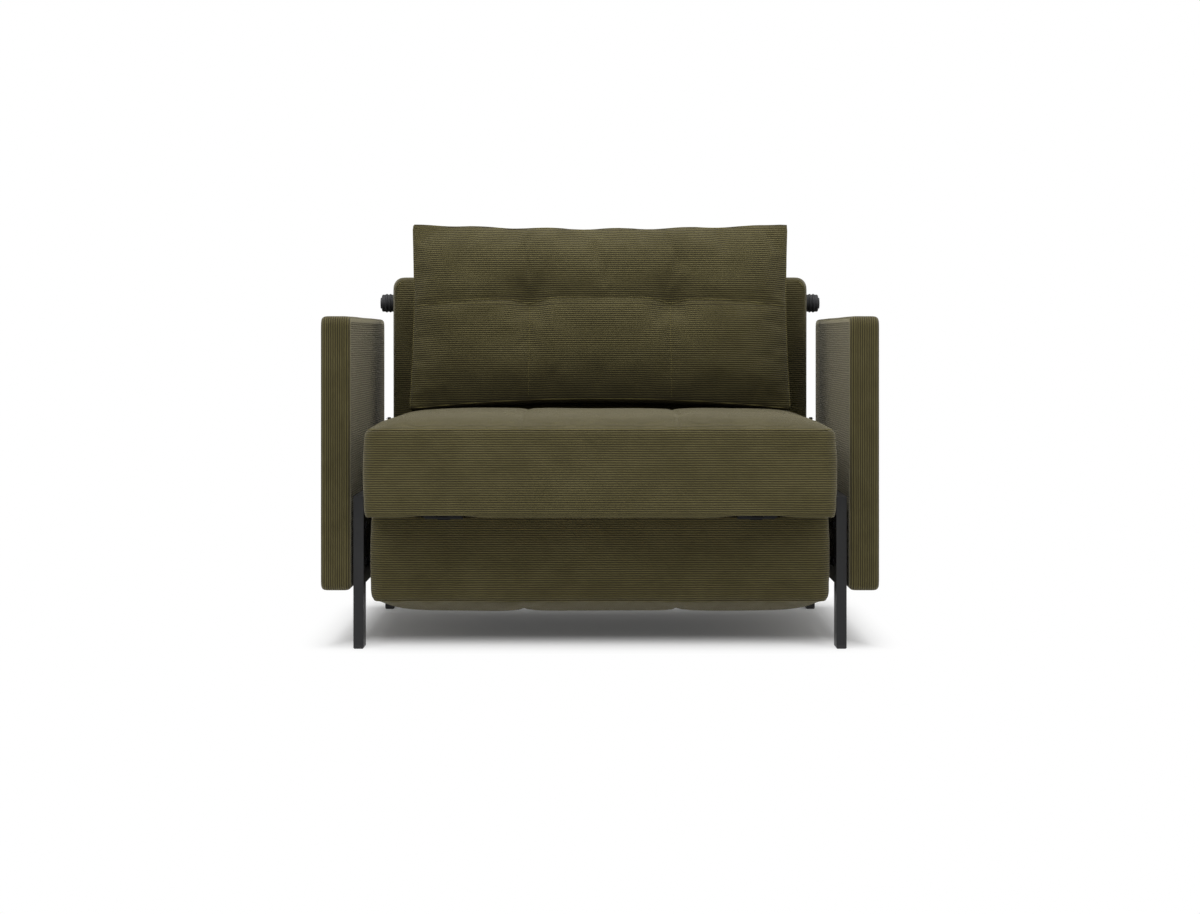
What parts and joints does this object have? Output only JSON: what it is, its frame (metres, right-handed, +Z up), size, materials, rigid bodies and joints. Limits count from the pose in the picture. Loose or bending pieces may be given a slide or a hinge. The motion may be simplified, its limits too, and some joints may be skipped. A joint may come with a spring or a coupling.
{
  "type": "chair bed",
  "caption": "Corduroy chair bed with slab arms on black steel legs; the seat slides out, the foot section unfolds on a folding leg and the back reclines flat.",
  "frame": {"origin": "on the floor, under the middle of the chair as it stands in its chair position", "axes": "+Z up, -Y towards the front of the seat, +X towards the right as seen from the front"},
  "size_m": [1.094, 0.939, 0.8573],
  "materials": {
    "corduroy": "olive cotton corduroy, soft",
    "frame_steel": "fine-textured black powder coat",
    "zinc_steel": "zinc plated",
    "black_steel": "black, satin",
    "black_rubber": "matt",
    "black_plastic": "matt",
    "beech": "bent beech, clear lacquer",
    "plywood": "raw"
  },
  "bodies": {
    "base": {"side_frame_right": "frame_steel", "side_frame_left": "frame_steel", "leg_glides": "black_plastic", "rear_cross_tubes": "frame_steel", "arm_pad_right": "corduroy", "arm_pad_left": "corduroy", "arm_board_right": "plywood", "arm_board_left": "plywood", "arm_bolts_right": "black_steel", "arm_bolts_left": "black_steel", "arm_spacers_right": "black_plastic", "arm_spacers_left": "black_plastic", "slide_outer_right": "zinc_steel", "slide_outer_left": "zinc_steel"},
    "carriage": {"slide_inner_right": "zinc_steel", "slide_inner_left": "zinc_steel", "carriage_plate_right": "black_steel", "carriage_plate_left": "black_steel", "carriage_tube": "black_steel", "seat_lift_pins": "zinc_steel", "back_pivot_pins": "zinc_steel", "back_ratchet_hubs": "zinc_steel"},
    "seat": {"seat_mattress": "corduroy", "seat_rails": "black_steel", "seat_skirt": "corduroy", "seat_slats": "beech", "seat_slat_caps": "black_plastic", "seat_lift_arms": "black_steel", "seat_hinge_knuckles": "black_steel", "foot_hinge_pins": "black_steel"},
    "foot": {"foot_mattress": "corduroy", "foot_rails": "black_steel", "foot_skirt": "corduroy", "foot_slats": "beech", "foot_slat_caps": "black_plastic", "foot_hinge_knuckles": "black_steel", "foot_leg_pins": "zinc_steel"},
    "foot_leg": {"foot_leg": "frame_steel", "foot_leg_glides": "black_plastic"},
    "back": {"back_mattress": "corduroy", "back_rails": "black_steel", "back_skirt": "corduroy", "back_slats": "beech", "back_slat_caps": "black_plastic", "back_arms": "black_steel", "roller_bar": "black_steel", "roller_bar_brackets": "black_steel", "roller_bar_plugs": "black_plastic"},
    "roller_right": {"roller_right": "black_rubber"},
    "roller_left": {"roller_left": "black_rubber"},
    "cushion": {"loose_cushion": "corduroy"}
  },
  "joints": [
    {"name": "carriage_slide", "type": "slide", "parent": "base", "child": "carriage", "axis": [0, -1, 0], "range_m": [0, 0.22]},
    {"name": "seat_lift", "type": "hinge", "parent": "carriage", "child": "seat", "pos_m": [0, 0.179, 0.428], "axis": [-1, 0, 0], "range_deg": [0, 60]},
    {"name": "foot_unfold", "type": "hinge", "parent": "seat", "child": "foot", "pos_m": [0, -0.405, 0.265], "axis": [-1, 0, 0], "range_deg": [0, 180]},
    {"name": "foot_leg_swing", "type": "hinge", "parent": "foot", "child": "foot_leg", "pos_m": [0, 0.33, 0.2487], "axis": [-1, 0, 0], "range_deg": [0, 90]},
    {"name": "back_recline", "type": "hinge", "parent": "carriage", "child": "back", "pos_m": [0, 0.281, 0.35165], "axis": [-1, 0, 0], "range_deg": [0, 86]},
    {"name": "roller_right_spin", "type": "hinge", "parent": "back", "child": "roller_right", "pos_m": [0.47, 0.33635, 0.68661], "axis": [1, 0, 0], "continuous": true},
    {"name": "roller_left_spin", "type": "hinge", "parent": "back", "child": "roller_left", "pos_m": [-0.47, 0.33635, 0.68661], "axis": [1, 0, 0], "continuous": true},
    {"name": "cushion_lift_off", "type": "slide", "parent": "back", "child": "cushion", "axis": [0, 0.1392, 0.9903], "range_m": [0, 0.7]}
  ],
  "couplings": [
    {"joint": "foot_leg_swing", "follows": "foot_unfold", "ratio": 0.5},
    {"joint": "cushion_lift_off", "follows": "seat_lift", "m_per_rad": 0.6684}
  ]
}
